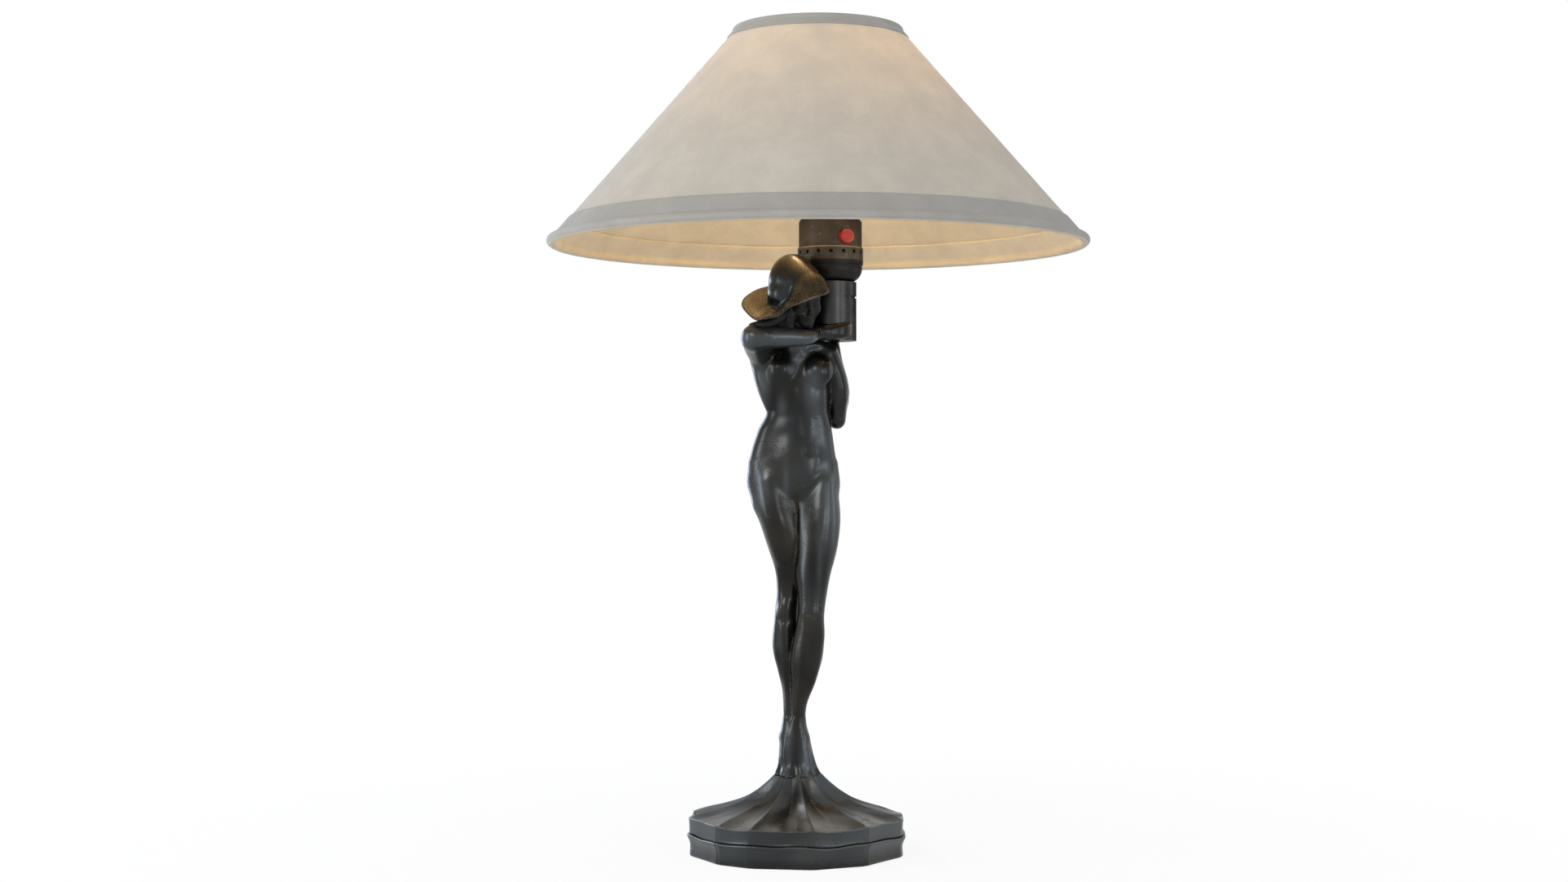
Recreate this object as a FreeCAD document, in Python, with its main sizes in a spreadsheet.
import FreeCAD, Part
import math
import os
from types import SimpleNamespace

import Sketcher

os.makedirs("parts", exist_ok=True)

# A figural table lamp: a bronze figure in a floppy hat stands on a fluted twelve-sided foot and holds a
# column that carries a push-through socket, a bulb and a wide cone shade. All sizes are in millimetres. The
# origin is the centre of the foot's underside, +Z is up, and the figure faces -Y.

SIZES = {
    # the foot: a lower tier, an upper tier and the flare that rises from it
    "foot_radius": 62.7,
    "plinth_step": 1.2,
    "plinth_draft": 1.7,
    "plinth_height": 12.3,
    "tier_height": 9.3,
    "flare_height": 29.9,
    "flare_neck_radius": 9.6,
    "foot_cavity_depth": 16.0,
    "foot_boss_radius": 9.0,
    "foot_boss_height": 36.0,
    "foot_rim": 10.7,
    "board_ledge": 4.0,
    "board_thickness": 1.4,
    "felt_thickness": 1.2,
    "seat_gap": 0.2,
    # the cord's inlet at the back of the foot
    "inlet_bore_radius": 2.8,
    "inlet_wall": 1.2,
    "inlet_flange_radius": 4.3,
    "inlet_flange_thickness": 1.4,
    # the stud that holds the figure on the foot
    "stud_radius": 2.5,
    "stud_grip": 10.0,
    "stud_clearance": 0.1,
    "stud_end": 2.5,
    "base_washer_radius": 7.5,
    "base_washer_thickness": 1.2,
    "base_nut_radius": 5.4,
    "base_nut_height": 4.2,
    # the figure
    "figure_height": 296.0,
    # the column in the figure's arms
    "column_x": 20.4,
    "column_y": 6.0,
    "cup_radius": 15.4,
    "cup_wall": 2.6,
    "cup_floor": 3.0,
    "cup_height": 24.8,
    "cup_inlet_radius": 3.0,
    "groove_height": 1.5,
    "groove_depth": 0.8,
    "collar_height": 8.2,
    "spigot_clearance": 0.1,
    "pipe_floor_gap": 1.8,
    "set_screw_radius": 1.6,
    "set_screw_length": 5.0,
    "set_screw_drop": 6.5,
    "set_screw_recess": 0.05,
    "pipe_radius": 4.9,
    "pipe_bore_radius": 3.4,
    "pipe_clearance": 0.1,
    "pipe_tail": 6.5,
    "locknut_radius": 7.6,
    "locknut_height": 4.0,
    "lock_washer_radius": 8.0,
    "lock_washer_thickness": 1.0,
    # the socket
    "socket_sheet": 0.5,
    "cap_sheet": 0.6,
    "cap_foot_radius": 11.6,
    "cap_dome_height": 10.2,
    "cap_ring_radius": 19.3,
    "cap_ring_height": 10.1,
    "vent_count": 16,
    "vent_width": 2.0,
    "vent_level": 17.3,
    "hub_height": 3.0,
    "hub_wall": 1.6,
    "shell_clearance": 0.1,
    "shell_engagement": 7.5,
    "shell_height": 35.5,
    "shoulder_height": 2.2,
    "neck_radius": 17.1,
    "neck_bead": 0.8,
    "neck_height": 24.5,
    "edge_bevel": 0.8,
    "liner_thickness": 0.6,
    "liner_gap": 0.1,
    "housing_gap": 0.25,
    "housing_hub_rise": 0.1,
    "housing_hub_radius": 14.2,
    "housing_hub_height": 5.0,
    "screw_shell_radius": 13.3,
    "screw_shell_sheet": 0.5,
    "screw_shell_height": 25.0,
    "contact_radius": 4.0,
    "contact_window_radius": 6.4,
    "contact_thickness": 1.2,
    "terminal_screw_radius": 2.2,
    "terminal_screw_length": 1.2,
    "terminal_level": 15.0,
    # the push-through switch
    "switch_angle": 26.5,
    "switch_level": 25.8,
    "switch_rod_radius": 2.1,
    "switch_rod_clearance": 0.1,
    "button_radius": 4.1,
    "button_length": 5.8,
    "button_clearance": 0.3,
    "button_depth": 3.0,
    "button_travel": 4.0,
    # the bulb
    "tip_radius": 4.6,
    "tip_height": 1.8,
    "insulator_height": 3.0,
    "insulator_radius": 9.7,
    "bulb_cap_radius": 12.95,
    "bulb_cap_height": 21.5,
    "bulb_cap_sheet": 0.4,
    "glass_neck_radius": 12.4,
    "glass_neck_height": 5.0,
    "glass_radius": 25.0,
    "glass_rise": 36.0,
    "glass_thickness": 0.8,
    "glass_join_angle": 33.0,
    "glass_bend_in": 1.2,
    "glass_bend_up": 1.6,
    "stem_radius": 4.0,
    "stem_height": 34.0,
    # the shade, whose axis stands a little beside the socket's
    "shade_x": 13.0,
    "shade_y": 6.0,
    "shade_top_level": 485.2,
    "shade_top_radius": 47.3,
    "shade_slant": 170.2,
    "shade_angle": 40.9,
    "shade_sheet": 0.8,
    "band_thickness": 0.6,
    "glue_gap": 0.05,
    "top_band_width": 9.0,
    "top_lip_radius": 2.0,
    "top_wire_radius": 1.25,
    "hem_width": 19.0,
    "hem_lip_radius": 2.75,
    "hem_wire_radius": 1.5,
    # the shade's fitter and the ring that holds it down
    "fitter_running_gap": 0.3,
    "fitter_width": 6.0,
    "fitter_thickness": 1.4,
    "fitter_arm_radius": 1.25,
    "ring_wall": 3.2,
    "ring_height": 4.0,
}

# The foot's ridges end in the corners of its two tiers. Their directions, in degrees from the front towards
# +X, are uneven as on a hand-modelled casting, and the back facet is square to +Y for the inlet.
RIDGES = (-79.4, -46.0, -24.9, 9.0, 39.7, 75.5, 104.5, 134.5, 165.0, 195.0, 223.5, 252.0)
BACK_FACET = (165.0, 195.0)

# The shade's three arms, in degrees from +X towards +Y.
ARM_DIRECTIONS = (30, 150, 270)

# How far up the figure the column's underside is, as a share of her height.
HANDS_SHARE = 0.842

doc = FreeCAD.newDocument("figural_table_lamp")
sheet = doc.addObject("Spreadsheet::Sheet", "Sizes")
for row, (alias, number) in enumerate(SIZES.items(), 1):
    sheet.set(f"A{row}", alias)
    sheet.set(f"B{row}", str(number))
    sheet.setAlias(f"B{row}", alias)
doc.recompute()


class Length:
    """A size of the sheet or one worked out from several: number and live expression."""

    def __init__(self, value, text):
        self.value = value
        self.text = text

    def __add__(self, other):
        other = length(other)
        return Length(self.value + other.value, f"({self.text} + {other.text})")

    def __radd__(self, other):
        return length(other) + self

    def __sub__(self, other):
        other = length(other)
        return Length(self.value - other.value, f"({self.text} - {other.text})")

    def __rsub__(self, other):
        return length(other) - self

    def __mul__(self, other):
        other = length(other)
        return Length(self.value * other.value, f"({self.text} * {other.text})")

    def __rmul__(self, other):
        return length(other) * self

    def __truediv__(self, other):
        other = length(other)
        return Length(self.value / other.value, f"({self.text} / {other.text})")

    def __neg__(self):
        return length(0.0) - self


def length(number):
    return number if isinstance(number, Length) else Length(float(number), f"({float(number)})")


def cosine(degrees):
    degrees = length(degrees)
    return Length(math.cos(math.radians(degrees.value)), f"cos({degrees.text})")


def sine(degrees):
    degrees = length(degrees)
    return Length(math.sin(math.radians(degrees.value)), f"sin({degrees.text})")


def leg(hypotenuse, other_leg):
    """The second short side of a right-angled triangle."""
    square = hypotenuse * hypotenuse - other_leg * other_leg
    return Length(math.sqrt(square.value), f"sqrt({square.text})")


size = SimpleNamespace(**{alias: Length(sheet.get(alias), f"Sizes.{alias}") for alias in SIZES})
nodes = []

# Levels that several pieces share, all above the table.
tier_level = size.plinth_height
flare_level = tier_level + size.tier_height
figure_level = flare_level + size.flare_height
cup_level = figure_level + size.figure_height * HANDS_SHARE
collar_level = cup_level + size.cup_height
cap_level = collar_level + size.groove_height + size.collar_height
ring_level = cap_level + size.cap_dome_height
shell_level = ring_level + size.cap_ring_height - size.shell_engagement
bead_level = cap_level + size.shell_height + size.shoulder_height
fitter_level = bead_level + size.neck_bead
housing_level = cap_level + size.cap_dome_height
contact_level = bead_level + size.housing_hub_rise
tip_level = contact_level + size.contact_thickness
shell_radius = size.cap_ring_radius - size.cap_sheet - size.shell_clearance
board_radius = size.foot_radius - size.foot_rim
cavity_radius = board_radius - size.board_ledge
spigot_length = size.cup_height - size.cup_floor - size.pipe_tail - size.pipe_floor_gap


def bind(thing, prop, value):
    thing.setExpression(prop, length(value).text)


def place(thing, x=0.0, y=0.0, z=0.0, turn=None):
    """Puts a piece at its place in the lamp, and turns it about its own upright axis if asked."""
    if turn is not None:
        thing.Placement = FreeCAD.Placement(FreeCAD.Vector(), FreeCAD.Rotation(FreeCAD.Vector(0, 0, 1), 1))
        bind(thing, "Placement.Rotation.Angle", turn)
    for axis, value in zip("xyz", (x, y, z)):
        bind(thing, f"Placement.Base.{axis}", value)


def on_column(thing, level, turn=None):
    place(thing, size.column_x, size.column_y, level, turn)


def new_body(label):
    body = doc.addObject("PartDesign::Body", label)
    nodes.append(body)
    return body


def new_sketch(body, name, plane, level=None):
    """A sketch on one of the body's own origin planes, lifted along its normal if a level is given."""
    sketch = body.newObject("Sketcher::SketchObject", name)
    role = f"{plane}_Plane"
    support = [feature for feature in body.Origin.OriginFeatures if feature.Role == role][0]
    sketch.AttachmentSupport = [(support, "")]
    sketch.MapMode = "FlatFace"
    if level is not None:
        bind(sketch, "AttachmentOffset.Base.z", level)
    return sketch


def pin_point(sketch, curve, end, point):
    """Holds one end of a curve at a pair of lengths."""
    for kind, value in zip(("DistanceX", "DistanceY"), point):
        value = length(value)
        number = sketch.addConstraint(Sketcher.Constraint(kind, -1, 1, curve, end, value.value))
        bind(sketch, f"Constraints[{number}]", value)


def draw_outline(sketch, corners):
    """Draws a closed outline. A corner is a pair of lengths; one with a third entry, itself a pair, starts
    an arc that passes through that pair on its way to the next corner."""
    flat = [FreeCAD.Vector(length(c[0]).value, length(c[1]).value, 0) for c in corners]
    ends = []
    for i, corner in enumerate(corners):
        start, finish = flat[i], flat[(i + 1) % len(flat)]
        if len(corner) == 3:
            middle = FreeCAD.Vector(length(corner[2][0]).value, length(corner[2][1]).value, 0)
            forward = (middle - start).cross(finish - middle).z > 0
            arc = Part.Arc(start, middle, finish) if forward else Part.Arc(finish, middle, start)
            curve = sketch.addGeometry(arc)
            mark = sketch.addGeometry(Part.Point(middle), True)
            pin_point(sketch, mark, 1, corner[2])
            sketch.addConstraint(Sketcher.Constraint("PointOnObject", mark, 1, curve))
            ends.append((curve, 1, 2) if forward else (curve, 2, 1))
        else:
            curve = sketch.addGeometry(Part.LineSegment(start, finish))
            ends.append((curve, 1, 2))
    for i, corner in enumerate(corners):
        before = ends[i - 1]
        here = ends[i]
        sketch.addConstraint(Sketcher.Constraint("Coincident", before[0], before[2], here[0], here[1]))
        pin_point(sketch, here[0], here[1], corner)


def turned(label, corners, lying=False):
    """A round piece: its half outline turned about the body's upright axis, or its Y axis if it lies."""
    body = new_body(label)
    sketch = new_sketch(body, f"{label}_outline", "YZ" if lying else "XZ")
    draw_outline(sketch, corners)
    turn = body.newObject("PartDesign::Revolution", f"{label}_turn")
    turn.Profile = sketch
    turn.ReferenceAxis = (sketch, ["H_Axis" if lying else "V_Axis"])
    turn.Angle = 360
    return body


def tube(label, outer, inner, height):
    return turned(label, [(inner, 0.0), (outer, 0.0), (outer, height), (inner, height)])


def disc(label, radius, thickness):
    return turned(label, [(0.0, 0.0), (radius, 0.0), (radius, thickness), (0.0, thickness)])


def drill(body, name, plane, draw, two_way=True):
    """A pocket right through the body, from a drawing on one of its origin planes."""
    sketch = new_sketch(body, f"{name}_outline", plane)
    draw(sketch)
    pocket = body.newObject("PartDesign::Pocket", name)
    pocket.Profile = sketch
    pocket.Type = "ThroughAll"
    if two_way:
        pocket.SideType = "Symmetric"
    return pocket


def circle_at(sketch, x, y, radius):
    middle = FreeCAD.Vector(length(x).value, length(y).value, 0)
    curve = sketch.addGeometry(Part.Circle(middle, FreeCAD.Vector(0, 0, 1), length(radius).value))
    pin_point(sketch, curve, 3, (x, y))
    number = sketch.addConstraint(Sketcher.Constraint("Radius", curve, length(radius).value))
    bind(sketch, f"Constraints[{number}]", radius)


def hexagon(radius):
    return [(radius * cosine(60 * i), radius * sine(60 * i)) for i in range(6)]


def nut(label, corner_radius, height, bore):
    """A hexagon nut with a plain bore."""
    body = new_body(label)
    sketch = new_sketch(body, f"{label}_hexagon", "XY")
    draw_outline(sketch, hexagon(corner_radius))
    circle_at(sketch, 0.0, 0.0, bore)
    pad = body.newObject("PartDesign::Pad", f"{label}_pad")
    pad.Profile = sketch
    bind(pad, "Length", height)
    return body


def carved(label, shape):
    """A sculpted piece, whose shape is worked out from the sheet's sizes."""
    piece = doc.addObject("Part::Feature", label)
    piece.Shape = shape
    nodes.append(piece)


# ---------------------------------------------------------------- the foot


def ridge_point(radius, degrees, level=0.0):
    angle = math.radians(degrees)
    return FreeCAD.Vector(radius * math.sin(angle), -radius * math.cos(angle), level)


def ridge_corners(radius):
    return [(radius * sine(degrees), -(radius * cosine(degrees))) for degrees in RIDGES]


def foot_plinth():
    """The lower tier: a twelve-sided ring, narrower at the table, with a rebate for the board and felt."""
    body = new_body("foot_plinth")
    wide = size.foot_radius + size.plinth_step
    low = new_sketch(body, "plinth_foot", "XY")
    draw_outline(low, ridge_corners(wide - size.plinth_draft))
    high = new_sketch(body, "plinth_rim", "XY", size.plinth_height)
    draw_outline(high, ridge_corners(wide))
    loft = body.newObject("PartDesign::AdditiveLoft", "plinth_loft")
    loft.Profile = low
    loft.Sections = [high]
    loft.Ruled = True
    for name, radius, depth in (
        ("plinth_hollow", cavity_radius, size.plinth_height),
        ("plinth_rebate", board_radius + size.seat_gap, size.felt_thickness + size.board_thickness),
    ):
        sketch = new_sketch(body, f"{name}_outline", "XY")
        circle_at(sketch, 0.0, 0.0, radius)
        pocket = body.newObject("PartDesign::Pocket", name)
        pocket.Profile = sketch
        pocket.Reversed = True
        bind(pocket, "Length", depth)


def flare_ring(share_up, ridge_radius, valley_radius):
    """One level of the flare: twelve hollow arcs from ridge to ridge. A wide arc lies deeper."""
    level = flare_level.value + share_up * size.flare_height.value
    even_step = 360 / len(RIDGES)
    even_depth = ridge_radius * math.cos(math.radians(even_step / 2)) - valley_radius
    edges = []
    for i, start in enumerate(RIDGES):
        finish = RIDGES[i + 1] if i + 1 < len(RIDGES) else RIDGES[0] + 360
        chord = ridge_radius * math.cos(math.radians((finish - start) / 2))
        depth = even_depth * (finish - start) / even_step
        middle = ridge_point(chord - depth, (start + finish) / 2, level)
        ends = [ridge_point(ridge_radius, degrees, level) for degrees in (start, finish)]
        edges.append(Part.Arc(ends[0], middle, ends[1]))
    return Part.Wire([arc.toShape() for arc in edges])


def skirt_flare():
    """The upper tier and the fluted flare that sweeps up from its corners to the figure's feet."""
    corners = [ridge_point(size.foot_radius.value, degrees, tier_level.value) for degrees in RIDGES]
    tier = Part.Face(Part.makePolygon(corners + corners[:1]))
    tier = tier.extrude(FreeCAD.Vector(0, 0, size.tier_height.value))
    foot, neck = size.foot_radius.value, size.flare_neck_radius.value
    reach = foot - neck
    # how far up the flare, how far out the ridges stand, and how far out the valleys stand
    rings = (
        (0.0, 0.985, 0.93),
        (0.06, 0.95, 0.80),
        (0.14, 0.86, 0.64),
        (0.22, 0.69, 0.48),
        (0.34, 0.475, 0.32),
        (0.48, 0.30, 0.19),
        (0.64, 0.163, 0.095),
        (0.82, 0.062, 0.028),
        (1.0, 0.0, -0.012),
    )
    levels = [flare_ring(up, neck + out * reach, neck + dip * reach) for up, out, dip in rings]
    flare = Part.makeLoft(levels, True)
    hollow = Part.Face(
        Part.makePolygon(
            [
                FreeCAD.Vector(0, 0, tier_level.value - 1),
                FreeCAD.Vector(cavity_radius.value, 0, tier_level.value - 1),
                FreeCAD.Vector(cavity_radius.value, 0, size.foot_cavity_depth.value),
                FreeCAD.Vector(size.foot_boss_radius.value, 0, size.foot_boss_height.value),
                FreeCAD.Vector(0, 0, size.foot_boss_height.value),
                FreeCAD.Vector(0, 0, tier_level.value - 1),
            ]
        )
    ).revolve(FreeCAD.Vector(), FreeCAD.Vector(0, 0, 1), 360)
    bore = Part.makeCylinder((size.stud_radius + size.stud_clearance).value, figure_level.value)
    inlet = Part.makeCylinder(
        (size.inlet_bore_radius + size.inlet_wall).value,
        size.foot_radius.value,
        FreeCAD.Vector(0, 0, inlet_level.value),
        FreeCAD.Vector(0, 1, 0),
    )
    carved("skirt_flare", tier.fuse(flare).cut(hollow).cut(bore).cut(inlet).removeSplitter())


foot_plinth()
inlet_level = tier_level + size.tier_height / 2
back_facet = size.foot_radius * cosine((BACK_FACET[1] - BACK_FACET[0]) / 2)
skirt_flare()

felt = disc("felt_pad", board_radius, size.felt_thickness)
board = disc("base_board", board_radius, size.board_thickness)
place(board, z=size.felt_thickness)

# The inlet's sleeve ends flush with the cavity's wall, and its flange lies on the back facet.
inlet_wall_radius = size.inlet_bore_radius + size.inlet_wall
sleeve_start = leg(cavity_radius, inlet_wall_radius)
bushing = turned(
    "cord_bushing",
    [
        (sleeve_start, size.inlet_bore_radius),
        (back_facet + size.inlet_flange_thickness, size.inlet_bore_radius),
        (back_facet + size.inlet_flange_thickness, size.inlet_flange_radius),
        (back_facet, size.inlet_flange_radius),
        (back_facet, inlet_wall_radius),
        (sleeve_start, inlet_wall_radius),
    ],
    lying=True,
)
place(bushing, z=inlet_level)

nut_level = size.foot_boss_height - size.base_washer_thickness - size.base_nut_height
stud_hole = size.stud_radius + size.stud_clearance
stud = disc("base_stud", size.stud_radius, figure_level + size.stud_grip - nut_level + size.stud_end)
place(stud, z=nut_level - size.stud_end)
washer = tube("base_washer", size.base_washer_radius, stud_hole, size.base_washer_thickness)
place(washer, z=size.foot_boss_height - size.base_washer_thickness)
foot_nut = nut("base_nut", size.base_nut_radius, size.base_nut_height, stud_hole)
place(foot_nut, z=nut_level)

# ---------------------------------------------------------------- the figure

# Her proportions are hundredths of her height, measured up from the flare's top and out from the foot's axis.
unit = size.figure_height.value / 100
ground = figure_level.value


def spot(x, y, up):
    return FreeCAD.Vector(x * unit, y * unit, ground + up * unit)


def ring(up, x, y, half_width, front, back):
    """A level section of the body: a smooth closed curve with its own depth before and behind (x, y)."""
    soft = 0.76
    points = [
        spot(x + half_width, y, up),
        spot(x + half_width * soft, y + back * soft, up),
        spot(x, y + back, up),
        spot(x - half_width * soft, y + back * soft, up),
        spot(x - half_width, y, up),
        spot(x - half_width * soft, y - front * soft, up),
        spot(x, y - front, up),
        spot(x + half_width * soft, y - front * soft, up),
    ]
    curve = Part.BSplineCurve()
    curve.interpolate(points, PeriodicFlag=True)
    return Part.Wire([curve.toShape()])


def lofted(sections):
    return Part.makeLoft([ring(*section) for section in sections], True)


def swelling(x, y, up, wide, deep, tall):
    """An egg-shaped swelling."""
    ball = Part.makeSphere(1)
    shape = FreeCAD.Matrix()
    shape.scale(wide * unit, deep * unit, tall * unit)
    shape.move(spot(x, y, up))
    return ball.transformGeometry(shape)


def limb(points, radii):
    """A smooth round limb through the points, each with its radius, closed with round ends."""
    wires = []
    for i, point in enumerate(points):
        before = points[max(i - 1, 0)]
        after = points[min(i + 1, len(points) - 1)]
        wires.append(Part.Wire([Part.makeCircle(radii[i], point, after - before)]))
    fuller = 1.02
    ends = [Part.makeSphere(radii[end] * fuller, points[end]) for end in (0, -1)]
    return Part.makeLoft(wires, True).fuse(ends)


def joined(forms):
    """The forms fused one after another, which have to become one solid."""
    whole = forms[0]
    for form in forms[1:]:
        whole = whole.fuse(form)
    if len(whole.Solids) != 1:
        raise RuntimeError(f"the forms make {len(whole.Solids)} solids")
    return whole


def figure_body():
    """Legs, torso and neck. Each leg and the torso is a loft through level sections: up, x, y, half width,
    front depth and back depth. The legs end inside the torso, narrow enough to cross its skin at an
    angle."""
    front_leg = lofted(
        (
            (0.0, 1.0, -0.4, 2.2, 2.3, 2.4),
            (4.5, 0.9, -0.8, 1.7, 2.1, 1.9),
            (9.0, 0.5, -0.9, 1.45, 1.6, 1.6),
            (12.0, 0.6, -1.0, 1.6, 1.6, 1.7),
            (16.5, 1.4, -1.3, 2.35, 2.0, 2.5),
            (21.0, 1.9, -1.6, 3.0, 2.4, 3.1),
            (25.5, 2.6, -2.0, 3.0, 2.6, 2.9),
            (29.8, 3.0, -2.4, 2.6, 2.8, 2.4),
            (33.5, 3.2, -2.2, 2.9, 2.9, 2.8),
            (38.0, 3.5, -1.7, 3.55, 3.3, 3.5),
            (43.0, 4.2, -1.1, 4.1, 3.8, 4.2),
            (48.5, 4.5, -0.5, 4.35, 4.1, 4.8),
            (52.5, 4.1, 0.0, 3.9, 3.6, 4.6),
            (57.0, 3.7, 0.3, 2.9, 2.5, 3.2),
        )
    )
    rear_leg = lofted(
        (
            (0.0, -0.9, 0.3, 2.3, 2.4, 2.2),
            (5.0, -1.35, 0.7, 1.65, 1.9, 1.9),
            (10.5, -1.1, 0.9, 1.45, 1.6, 1.7),
            (14.5, -1.0, 1.0, 1.7, 1.7, 1.9),
            (19.5, -1.6, 1.1, 2.2, 2.0, 2.7),
            (24.5, -2.3, 1.0, 2.35, 2.2, 3.1),
            (30.0, -2.3, 0.6, 2.05, 2.2, 2.5),
            (35.0, -1.95, 0.4, 1.9, 2.3, 2.3),
            (39.0, -1.6, 0.3, 2.6, 2.7, 2.8),
            (43.0, -2.3, 0.3, 3.4, 3.2, 3.6),
            (48.5, -3.7, 0.3, 3.95, 3.8, 4.5),
            (52.5, -4.3, 0.3, 3.7, 3.4, 4.4),
            (57.0, -4.1, 0.4, 2.8, 2.4, 3.2),
        )
    )
    torso = lofted(
        (
            (45.0, 0.6, 0.2, 4.2, 1.6, 2.4),
            (50.0, 0.1, 0.3, 7.0, 2.9, 4.2),
            (54.0, -0.3, 0.4, 8.6, 3.9, 5.2),
            (58.0, -0.65, 0.4, 8.75, 4.5, 5.5),
            (62.5, -0.6, 0.3, 8.2, 4.4, 4.8),
            (66.5, -0.2, 0.2, 7.2, 4.0, 3.9),
            (70.0, 0.35, 0.1, 6.25, 3.7, 3.5),
            (73.2, -0.15, 0.0, 6.6, 3.9, 3.7),
            (76.2, -0.9, -0.1, 7.15, 4.2, 4.0),
            (79.0, -1.1, 0.0, 7.6, 4.1, 4.2),
            (81.3, -0.8, 0.1, 7.8, 3.4, 4.0),
            (83.0, 0.0, 0.0, 6.6, 2.6, 3.2),
            (84.2, 0.9, -0.3, 4.4, 2.0, 2.2),
        )
    )
    neck = limb(
        [spot(-0.4, -1.6, 80.5), spot(-0.2, -3.2, 84.5), spot(0.2, -4.8, 88.5)],
        [2.6 * unit, 2.0 * unit, 2.0 * unit],
    )
    bust = [swelling(-2.9, -3.3, 78.0, 3.1, 2.6, 2.9), swelling(4.7, -3.3, 77.9, 3.1, 2.6, 2.9)]
    whole = joined([torso, front_leg, rear_leg, neck, *bust])
    bore = Part.makeCylinder(
        (size.stud_radius + size.stud_clearance).value,
        (size.stud_grip + size.stud_clearance).value,
        FreeCAD.Vector(0, 0, ground),
    )
    return whole.cut(bore).cut(cup_space())


def cup_space():
    """The room that the column takes, which every part of the figure leaves free."""
    return Part.makeCylinder(
        size.cup_radius.value,
        (size.cup_height + size.groove_height + size.collar_height).value,
        FreeCAD.Vector(size.column_x.value, size.column_y.value, cup_level.value),
    )


def figure_head():
    """The head bows forward and turns towards the column; face and hair are one smooth egg here."""
    skull = swelling(0.2, -5.9, 93.6, 3.8, 4.3, 5.6)
    jaw = swelling(0.7, -7.4, 90.6, 2.5, 2.6, 3.4)
    bun = swelling(-0.6, -3.6, 90.6, 4.4, 3.3, 3.9)
    return skull.fuse([jaw, bun])


def hat_brim(middle, inner, ribs):
    """The floppy brim, lofted through closed rings that run out along its underside, round its edge and back
    along its top. A rib is a direction from the front, how far out the brim's edge is there and how far it
    hangs."""
    half_thickness = 0.5
    droop = 1.6
    # the share of the way out, and the height of the surface there in half thicknesses
    under = ((0.0, -1.0), (0.35, -1.0), (0.7, -1.0), (0.93, -0.85), (1.0, -0.3))
    path = under + tuple((share, -side) for share, side in reversed(under))
    wires = []
    for share, side in path:
        points = []
        for degrees, reach, hang in ribs:
            angle = math.radians(degrees)
            out = inner + share * (reach - inner)
            up = side * half_thickness - hang * share**droop
            points.append(middle + FreeCAD.Vector(out * math.sin(angle), -out * math.cos(angle), up) * unit)
        curve = Part.BSplineCurve()
        curve.interpolate(points, PeriodicFlag=True)
        wires.append(Part.Wire([curve.toShape()]))
    brim = Part.makeLoft(wires, True, True)
    return brim if brim.Volume > 0 else brim.reversed()


def hat():
    """A soft crown with a wide brim that lifts like a dish on her right and folds down over her face."""
    crown = swelling(-0.6, -6.4, 95.6, 4.85, 4.6, 5.75)
    brim = hat_brim(
        spot(-0.4, -6.4, 94.3),
        2.6,
        (
            (0.0, 6.2, 3.2),
            (30.0, 6.9, 2.4),
            (60.0, 7.2, 1.6),
            (95.0, 6.2, 1.0),
            (135.0, 5.0, 0.6),
            (175.0, 6.6, 0.8),
            (215.0, 8.6, 0.6),
            (245.0, 9.8, 1.8),
            (270.0, 10.3, 3.2),
            (295.0, 9.8, 6.0),
            (320.0, 8.6, 6.6),
            (342.0, 7.2, 4.6),
        ),
    )
    return crown.fuse(brim)


def column_spot(x, y, z):
    """A place counted from the column's axis and underside, for the hands that hold it."""
    return FreeCAD.Vector(size.column_x.value + x, size.column_y.value + y, cup_level.value + z)


def right_arm():
    """Her right arm points forward at the shoulder, and its forearm crosses before her neck to the column."""
    front = -size.cup_radius.value
    upper = limb(
        [spot(-6.0, -0.4, 80.6), spot(-7.3, -5.2, 82.8), spot(-7.5, -9.8, 84.0)],
        [3.0 * unit, 2.7 * unit, 2.75 * unit],
    )
    forearm = limb(
        [
            spot(-7.0, -10.2, 84.0),
            spot(-2.6, -9.2, 84.1),
            spot(2.4, -7.9, 84.2),
            column_spot(-6, front - 2.4, 4.0),
            column_spot(1, front - 2.0, 4.8),
            column_spot(8, front + 0.2, 6.0),
            column_spot(12, front + 3.4, 6.6),
        ],
        [2.6 * unit, 1.9 * unit, 1.5 * unit, 1.4 * unit, 1.7 * unit, 1.35 * unit, 0.8 * unit],
    )
    return upper.fuse(forearm)


def left_arm():
    """Her left arm hangs to a bent elbow, and its forearm rises behind the column to the hand there."""
    back = size.cup_radius.value
    upper = limb(
        [spot(5.8, 1.0, 81.2), spot(8.1, 1.8, 74.0), spot(8.6, 2.6, 68.6)],
        [2.8 * unit, 2.25 * unit, 1.9 * unit],
    )
    forearm = limb(
        [
            spot(8.6, 2.7, 68.5),
            spot(8.9, 5.2, 74.0),
            spot(7.8, 7.9, 81.0),
            column_spot(1, back + 2.8, 3.0),
            column_spot(0, back + 2.0, 9.0),
            column_spot(-1, back + 1.4, 16.0),
        ],
        [2.0 * unit, 1.9 * unit, 1.5 * unit, 1.2 * unit, 1.45 * unit, 0.8 * unit],
    )
    return upper.fuse(forearm)


# A cut may leave slivers beside the piece itself, which holds at least this share of the whole.
LEAST_SHARE = 0.97

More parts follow.
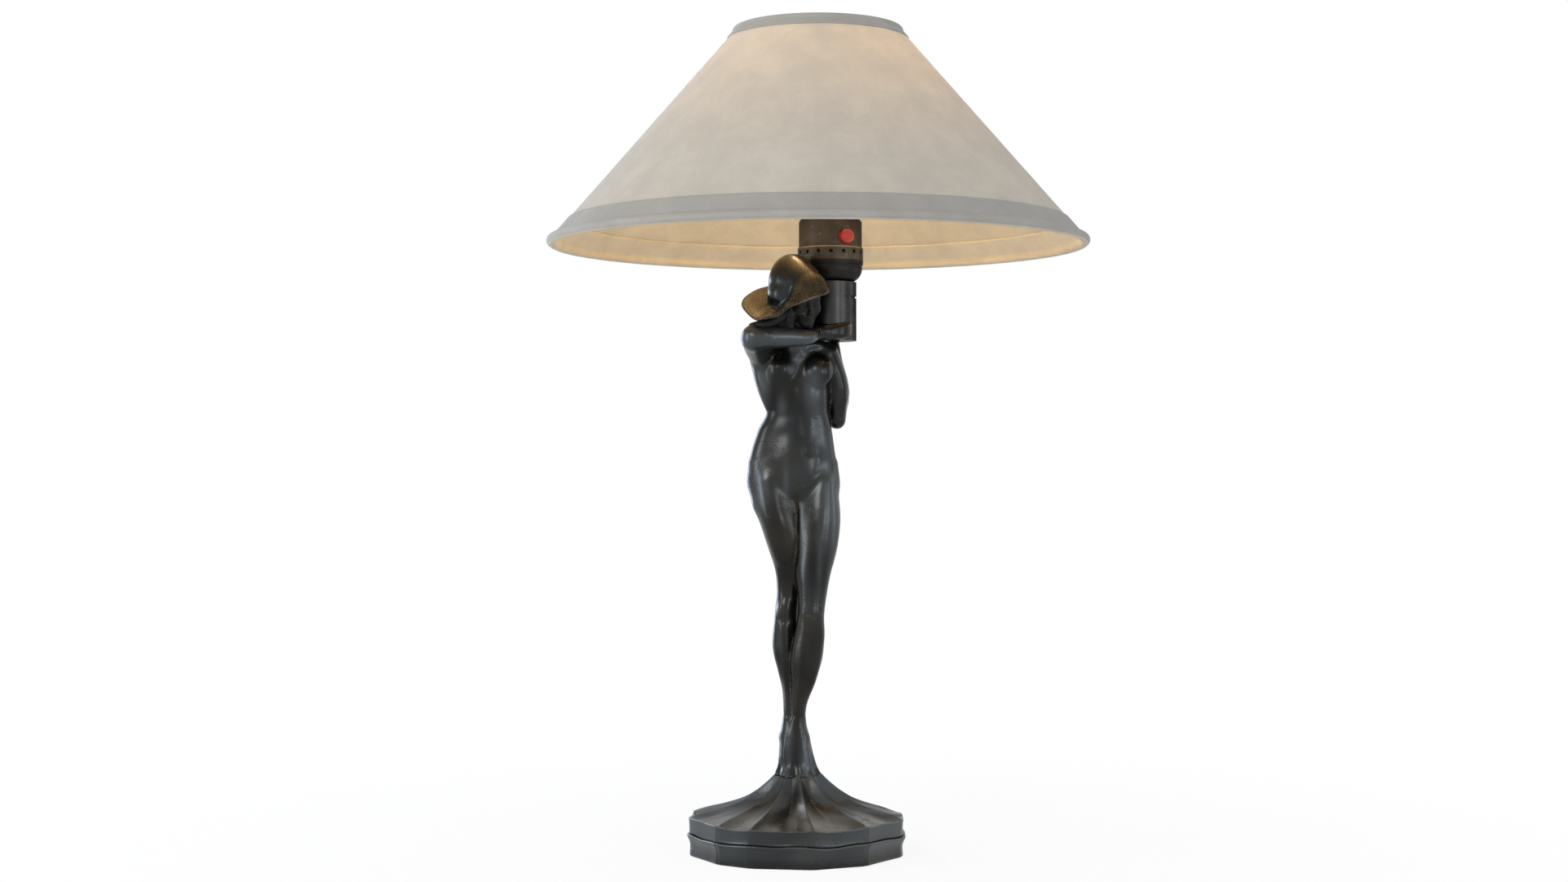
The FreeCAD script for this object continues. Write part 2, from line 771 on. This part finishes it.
column_room = cup_space()
body_shape = figure_body()
head_shape = figure_head().cut(column_room)
hat_shape = hat().cut(column_room).cut(head_shape)
right_shape = right_arm().cut(column_room).cut(body_shape)
head_shape = head_shape.cut(body_shape).cut(right_shape)
left_shape = left_arm().cut(column_room).cut(body_shape)
hat_shape = hat_shape.cut(right_shape).cut(body_shape)
for label, shape in (
    ("figure_body", body_shape),
    ("figure_head", head_shape),
    ("hat", hat_shape),
    ("right_arm", right_shape),
    ("left_arm", left_shape),
):
    main = max(shape.Solids, key=lambda solid: solid.Volume)
    if main.Volume < LEAST_SHARE * shape.Volume:
        raise RuntimeError(f"{label} is in pieces")
    carved(label, main)

# ---------------------------------------------------------------- the column

cup_inner = size.cup_radius - size.cup_wall
cup = turned(
    "lamp_cup",
    [
        (size.cup_inlet_radius, 0.0),
        (size.cup_radius, 0.0),
        (size.cup_radius, size.cup_height),
        (cup_inner, size.cup_height),
        (cup_inner, size.cup_floor),
        (size.cup_inlet_radius, size.cup_floor),
    ],
)
screw_level = size.cup_height - size.set_screw_drop


def screw_hole(body, name, level):
    """A hole through the right-hand wall only, for the set screw."""
    sketch = new_sketch(body, f"{name}_outline", "YZ")
    circle_at(sketch, 0.0, level, size.set_screw_radius)
    pocket = body.newObject("PartDesign::Pocket", name)
    pocket.Profile = sketch
    pocket.Type = "ThroughAll"
    pocket.Reversed = True


screw_hole(cup, "cup_screw_hole", screw_level)
on_column(cup, cup_level)

# The collar caps the cup. Its groove shows as a dark line, and its spigot reaches down inside the cup.
spigot_radius = cup_inner - size.spigot_clearance
collar_bore = size.pipe_radius + size.pipe_clearance
groove_radius = size.cup_radius - size.groove_depth
collar_top = size.groove_height + size.collar_height
collar = turned(
    "cup_collar",
    [
        (collar_bore, -spigot_length),
        (spigot_radius, -spigot_length),
        (spigot_radius, 0.0),
        (groove_radius, 0.0),
        (groove_radius, size.groove_height),
        (size.cup_radius, size.groove_height),
        (size.cup_radius, collar_top),
        (collar_bore, collar_top),
    ],
)
screw_hole(collar, "collar_screw_hole", -size.set_screw_drop)
on_column(collar, collar_level)

set_screw = turned(
    "cup_set_screw",
    [
        (0.0, 0.0),
        (size.set_screw_radius, 0.0),
        (size.set_screw_radius, size.set_screw_length),
        (0.0, size.set_screw_length),
    ],
)
set_screw.Placement = FreeCAD.Placement(FreeCAD.Vector(), FreeCAD.Rotation(FreeCAD.Vector(0, 1, 0), 90))
place(
    set_screw,
    size.column_x + size.cup_radius - size.set_screw_length - size.set_screw_recess,
    size.column_y,
    cup_level + screw_level,
)

pipe_top = collar_top + size.hub_height
pipe_length = spigot_length + size.pipe_tail + pipe_top
pipe = tube("pipe_nipple", size.pipe_radius, size.pipe_bore_radius, pipe_length)
on_column(pipe, collar_level - spigot_length - size.pipe_tail)
lock_washer = tube("lock_washer", size.lock_washer_radius, collar_bore, size.lock_washer_thickness)
on_column(lock_washer, collar_level - spigot_length - size.lock_washer_thickness)
locknut = nut("pipe_locknut", size.locknut_radius, size.locknut_height, collar_bore)
on_column(locknut, collar_level - spigot_length - size.lock_washer_thickness - size.locknut_height)

# ---------------------------------------------------------------- the socket


def socket_cap():
    """A bowl that rests on the collar, its rim a straight ring pierced by square vents."""
    outer, sheet_wall = size.cap_ring_radius, size.cap_sheet
    rise = size.cap_dome_height
    knee_out, knee_up = 0.72, 0.32
    knee = size.cap_foot_radius + (outer - size.cap_foot_radius) * knee_out
    hub = collar_bore + size.hub_wall
    body = turned(
        "socket_cap",
        [
            (collar_bore, 0.0),
            (size.cap_foot_radius, 0.0, (knee, rise * knee_up)),
            (outer - size.edge_bevel, rise),
            (outer, rise),
            (outer, rise + size.cap_ring_height),
            (outer - sheet_wall, rise + size.cap_ring_height),
            (outer - sheet_wall, rise, (knee - sheet_wall, rise * knee_up + sheet_wall / 2)),
            (size.cap_foot_radius, sheet_wall),
            (hub, sheet_wall),
            (hub, size.hub_height),
            (collar_bore, size.hub_height),
        ],
    )
    half = size.vent_width / 2
    vent = drill(
        body,
        "cap_vent",
        "XZ",
        lambda sketch: draw_outline(
            sketch,
            [
                (-half, size.vent_level - half),
                (half, size.vent_level - half),
                (half, size.vent_level + half),
                (-half, size.vent_level + half),
            ],
        ),
        two_way=False,
    )
    vents = body.newObject("PartDesign::PolarPattern", "cap_vents")
    vents.Originals = [vent]
    vents.Axis = (vent.Profile[0], ["V_Axis"])
    vents.Angle = 360
    bind(vents, "Occurrences", size.vent_count)
    body.Tip = vents
    on_column(body, cap_level)


socket_cap()

shell_bottom = shell_level - cap_level
shoulder_top = size.shell_height + size.shoulder_height
neck_top = shoulder_top + size.neck_height
button_hole = size.button_radius + size.button_clearance


def switch_holes(body, name, level, radius):
    """Opposite round holes across the body for the switch's two buttons."""
    drill(body, name, "XZ", lambda sketch: circle_at(sketch, 0.0, level, radius))


def socket_shell():
    """The straight shell, its shoulder, and the neck with a bead that the shade's fitter rests on."""
    inside = size.socket_sheet
    bead = size.neck_radius + size.neck_bead
    body = turned(
        "socket_shell",
        [
            (shell_radius - inside, shell_bottom),
            (shell_radius, shell_bottom),
            (shell_radius, size.shell_height),
            (size.neck_radius, shoulder_top),
            (bead, shoulder_top),
            (bead, shoulder_top + size.neck_bead),
            (size.neck_radius, shoulder_top + size.neck_bead),
            (size.neck_radius, neck_top),
            (size.neck_radius - inside, neck_top),
            (size.neck_radius - inside, shoulder_top - inside),
            (shell_radius - inside, size.shell_height - inside),
        ],
    )
    switch_holes(body, "shell_button_holes", size.switch_level, button_hole)
    on_column(body, cap_level, size.switch_angle)


socket_shell()


def socket_liner():
    """The fibre sleeve inside the shell, with the same shoulder and its own wider button holes."""
    outside = size.socket_sheet + size.liner_gap
    inside = outside + size.liner_thickness
    body = turned(
        "socket_liner",
        [
            (shell_radius - inside, shell_bottom),
            (shell_radius - outside, shell_bottom),
            (shell_radius - outside, size.shell_height - outside),
            (size.neck_radius - outside, shoulder_top - outside),
            (size.neck_radius - outside, neck_top),
            (size.neck_radius - inside, neck_top),
            (size.neck_radius - inside, shoulder_top - inside),
            (shell_radius - inside, size.shell_height - inside),
        ],
    )
    switch_holes(body, "liner_button_holes", size.switch_level, button_hole + size.liner_gap)
    on_column(body, cap_level, size.switch_angle)


socket_liner()

housing_radius = shell_radius - size.socket_sheet - size.liner_gap - size.liner_thickness - size.housing_gap
housing_bottom = housing_level - cap_level
housing_top = contact_level - cap_level
well_depth = size.button_length + size.button_depth


def switch_housing():
    """The moulded block that holds the switch, with a bore for the rod and a wider well for each button."""
    body = turned(
        "switch_housing",
        [
            (0.0, housing_bottom),
            (housing_radius, housing_bottom),
            (housing_radius, housing_top - size.housing_hub_height),
            (size.housing_hub_radius, housing_top - size.housing_hub_height),
            (size.housing_hub_radius, housing_top),
            (0.0, housing_top),
        ],
    )
    switch_holes(body, "rod_bore", size.switch_level, size.switch_rod_radius + size.switch_rod_clearance)
    well_floor = housing_radius - well_depth
    for name, side in (("front_well", -1), ("rear_well", 1)):
        sketch = new_sketch(body, f"{name}_outline", "YZ")
        near, far = side * well_floor, side * (housing_radius + size.button_depth)
        draw_outline(
            sketch,
            [
                (near, size.switch_level),
                (far, size.switch_level),
                (far, size.switch_level + button_hole),
                (near, size.switch_level + button_hole),
            ],
        )
        groove = body.newObject("PartDesign::Groove", name)
        groove.Profile = sketch
        groove.ReferenceAxis = (sketch, ["Edge1"])
        groove.Angle = 360
    on_column(body, cap_level, size.switch_angle)


switch_housing()

screw_shell = turned(
    "screw_shell",
    [
        (size.contact_window_radius, 0.0),
        (size.screw_shell_radius + size.screw_shell_sheet, 0.0),
        (size.screw_shell_radius + size.screw_shell_sheet, size.screw_shell_height),
        (size.screw_shell_radius, size.screw_shell_height),
        (size.screw_shell_radius, size.screw_shell_sheet),
        (size.contact_window_radius, size.screw_shell_sheet),
    ],
)
on_column(screw_shell, contact_level)
contact = disc("centre_contact", size.contact_radius, size.contact_thickness)
on_column(contact, contact_level)


def terminal_screws():
    """Two screw heads on the underside of the housing, where the wires would be held."""
    heads = []
    for side in (-1, 1):
        head = doc.addObject("Part::Cylinder", f"terminal_head_{side + 1}")
        bind(head, "Radius", size.terminal_screw_radius)
        bind(head, "Height", size.terminal_screw_length)
        on_column(head, housing_level - size.terminal_screw_length)
        bind(head, "Placement.Base.x", size.column_x + side * (housing_radius / 2))
        heads.append(head)
    pair = doc.addObject("Part::Compound", "terminal_screws")
    pair.Links = heads
    nodes.append(pair)


terminal_screws()

# The switch slides along a line that leaves the socket between the front and +X. One rod has both buttons.
button_out = shell_radius + size.button_travel
button_in = button_out - size.button_length
rod_end = button_in + size.button_length / 2
rear_shift = size.button_travel
rear_rod_end = rod_end - rear_shift
rod = turned(
    "switch_rod",
    [
        (-rod_end, 0.0),
        (rear_rod_end, 0.0),
        (rear_rod_end, size.switch_rod_radius),
        (-rod_end, size.switch_rod_radius),
    ],
    lying=True,
)
on_column(rod, cap_level + size.switch_level, size.switch_angle)
for label, side, outer, inner, socket_end in (
    ("switch_button", -1, button_out, button_in, rod_end),
    ("rear_button", 1, button_out - rear_shift, button_in - rear_shift, rear_rod_end),
):
    button = turned(
        label,
        [
            (side * inner, size.switch_rod_radius),
            (side * inner, size.button_radius),
            (side * (outer - size.edge_bevel), size.button_radius),
            (side * outer, size.button_radius - size.edge_bevel),
            (side * outer, 0.0),
            (side * socket_end, 0.0),
            (side * socket_end, size.switch_rod_radius),
        ],
        lying=True,
    )
    on_column(button, cap_level + size.switch_level, size.switch_angle)

# ---------------------------------------------------------------- the bulb

insulator_level = size.tip_height
cap_bottom = size.tip_height + size.insulator_height
bulb_contact = turned(
    "bulb_contact",
    [
        (0.0, 0.0),
        (size.tip_radius, 0.0),
        (size.tip_radius, insulator_level),
        (size.insulator_radius, cap_bottom),
        (0.0, cap_bottom),
    ],
)
on_column(bulb_contact, tip_level)
bulb_cap = turned(
    "bulb_cap",
    [
        (0.0, cap_bottom),
        (size.insulator_radius, cap_bottom),
        (size.bulb_cap_radius, cap_bottom + size.insulator_height),
        (size.bulb_cap_radius, cap_bottom + size.bulb_cap_height),
        (size.bulb_cap_radius - size.bulb_cap_sheet, cap_bottom + size.bulb_cap_height),
        (size.bulb_cap_radius - size.bulb_cap_sheet, cap_bottom + size.insulator_height),
        (size.insulator_radius, cap_bottom + size.bulb_cap_sheet),
        (0.0, cap_bottom + size.bulb_cap_sheet),
    ],
)
on_column(bulb_cap, tip_level)

glass_start = cap_bottom + size.bulb_cap_height - size.glass_neck_height
glass_middle = glass_start + size.glass_neck_height + size.glass_rise


def glass_half(inset):
    """The outline of the glass or of its inner face: neck, hollow shoulder and ball."""
    ball = size.glass_radius - inset
    neck = size.glass_neck_radius - inset
    join = (ball * cosine(size.glass_join_angle), glass_middle - ball * sine(size.glass_join_angle))
    middle = (glass_start + size.glass_neck_height + join[1]) / 2
    bend = ((neck + join[0]) / 2 - size.glass_bend_in, middle + size.glass_bend_up)
    return neck, join, bend, ball


def bulb_glass():
    neck, join, bend, ball = glass_half(0.0)
    neck_in, join_in, bend_in, ball_in = glass_half(size.glass_thickness)
    neck_end = glass_start + size.glass_neck_height
    body = turned(
        "bulb_glass",
        [
            (neck_in, glass_start),
            (neck, glass_start),
            (neck, neck_end, bend),
            (join[0], join[1], (ball * cosine(30), glass_middle + ball * sine(30))),
            (0.0, glass_middle + ball),
            (0.0, glass_middle + ball_in, (ball_in * cosine(30), glass_middle + ball_in * sine(30))),
            (join_in[0], join_in[1], bend_in),
            (neck_in, neck_end),
        ],
    )
    on_column(body, tip_level)


bulb_glass()
stem_foot = cap_bottom + size.bulb_cap_sheet
stem = turned(
    "bulb_stem",
    [
        (0.0, stem_foot),
        (size.stem_radius * 2, stem_foot),
        (size.stem_radius, stem_foot + size.stem_height / 2),
        (size.stem_radius, stem_foot + size.stem_height),
        (0.0, stem_foot + size.stem_height),
    ],
)
on_column(stem, tip_level)

# ---------------------------------------------------------------- the shade

slope_out = sine(size.shade_angle)
slope_down = cosine(size.shade_angle)


def on_slant(down, out):
    """A point of the shade's half section: so far down its slope from the top and so far outside the
    sheet's middle."""
    x = size.shade_top_radius + down * slope_out + out * slope_down
    return (x, out * slope_out - down * slope_down)


def on_shade(thing):
    place(thing, size.shade_x, size.shade_y, size.shade_top_level)


half_sheet = size.shade_sheet / 2
slot = half_sheet + size.glue_gap
skin = slot + size.band_thickness


def wire_ring(label, down, radius):
    """A wire hoop inside a hem."""
    hoop = doc.addObject("Part::Torus", label)
    x, z = on_slant(down, length(0.0))
    bind(hoop, "Radius1", x)
    bind(hoop, "Radius2", radius)
    place(hoop, size.shade_x, size.shade_y, size.shade_top_level + z)
    nodes.append(hoop)


def edge_band(label, middle, toward, width, lip, wire):
    """The folded band round one edge of the shade: an outer and an inner leaf that grip the sheet, and a
    round lip over the wire. Toward is 1 at the bottom edge and -1 at the top."""
    hollow = wire + size.glue_gap
    lip_join = middle - toward * leg(lip, skin)
    wire_join = middle - toward * leg(hollow, slot)
    leaf_end = middle + toward * (lip - width)
    body = turned(
        label,
        [
            on_slant(leaf_end, slot),
            on_slant(leaf_end, skin),
            (*on_slant(lip_join, skin), on_slant(middle + toward * lip, length(0.0))),
            on_slant(lip_join, -skin),
            on_slant(leaf_end, -skin),
            on_slant(leaf_end, -slot),
            (*on_slant(wire_join, -slot), on_slant(middle + toward * hollow, length(0.0))),
            on_slant(wire_join, slot),
        ],
    )
    on_shade(body)
    return body


top_middle = size.top_lip_radius
bottom_middle = size.shade_slant - size.hem_lip_radius
panel_top = top_middle + size.top_wire_radius + size.glue_gap
panel_bottom = bottom_middle - size.hem_wire_radius - size.glue_gap
panel = turned(
    "shade_panel",
    [
        on_slant(panel_top, -half_sheet),
        on_slant(panel_bottom, -half_sheet),
        on_slant(panel_bottom, half_sheet),
        on_slant(panel_top, half_sheet),
    ],
)
on_shade(panel)
top_trim = edge_band(
    "top_trim", top_middle, -1, size.top_band_width, size.top_lip_radius, size.top_wire_radius
)
edge_band("bottom_hem", bottom_middle, 1, size.hem_width, size.hem_lip_radius, size.hem_wire_radius)
wire_ring("top_wire", top_middle, size.top_wire_radius)
wire_ring("bottom_wire", bottom_middle, size.hem_wire_radius)

fitter_inner = size.neck_radius + size.fitter_running_gap
doc.recompute()


def shade_fitter():
    """A flat ring on the socket's neck with three wires up to the top edge. The wires differ in length,
    because the shade's axis stands beside the socket's."""
    axis = FreeCAD.Vector(size.column_x.value, size.column_y.value, fitter_level.value)
    outer = (fitter_inner + size.fitter_width).value
    thick = size.fitter_thickness.value
    wire = size.fitter_arm_radius.value
    whole = Part.makeCylinder(outer, thick, axis).cut(Part.makeCylinder(fitter_inner.value, thick, axis))
    rim_x, rim_z = on_slant(top_middle + size.top_lip_radius, -skin - size.fitter_arm_radius)
    top_axis = FreeCAD.Vector(size.shade_x.value, size.shade_y.value, (size.shade_top_level + rim_z).value)
    for degrees in ARM_DIRECTIONS:
        away = FreeCAD.Vector(math.cos(math.radians(degrees)), math.sin(math.radians(degrees)), 0)
        foot = axis + away * (outer - wire) + FreeCAD.Vector(0, 0, thick / 2)
        head = top_axis + away * (rim_x.value + wire)
        along = head - foot
        arm = Part.makeCylinder(wire, along.Length, foot, along)
        whole = whole.fuse([arm, Part.makeSphere(wire, foot)])
    under = Part.makeCylinder(outer + wire, wire, axis - FreeCAD.Vector(0, 0, wire))
    whole = whole.cut(under).cut(top_trim.Shape)
    carved("shade_fitter", max(whole.Solids, key=lambda solid: solid.Volume))


shade_fitter()
retaining_ring = tube("retaining_ring", fitter_inner + size.ring_wall, fitter_inner, size.ring_height)
on_column(retaining_ring, fitter_level + size.fitter_thickness)

# ---------------------------------------------------------------- check and write

doc.recompute()
for thing in doc.Objects:
    if "Invalid" in thing.State or "Error" in thing.State:
        raise RuntimeError(f"{thing.Label} failed: {thing.State}")
for node in nodes:
    if node.Shape.isNull() or not node.Shape.isValid() or not node.Shape.Solids:
        raise RuntimeError(f"{node.Label} has no valid solid")
for node in nodes:
    node.Shape.exportStep(f"parts/{node.Label}.step")
    print(f"{node.Label}: {node.Shape.Volume:.1f} mm3, {len(node.Shape.Faces)} faces")
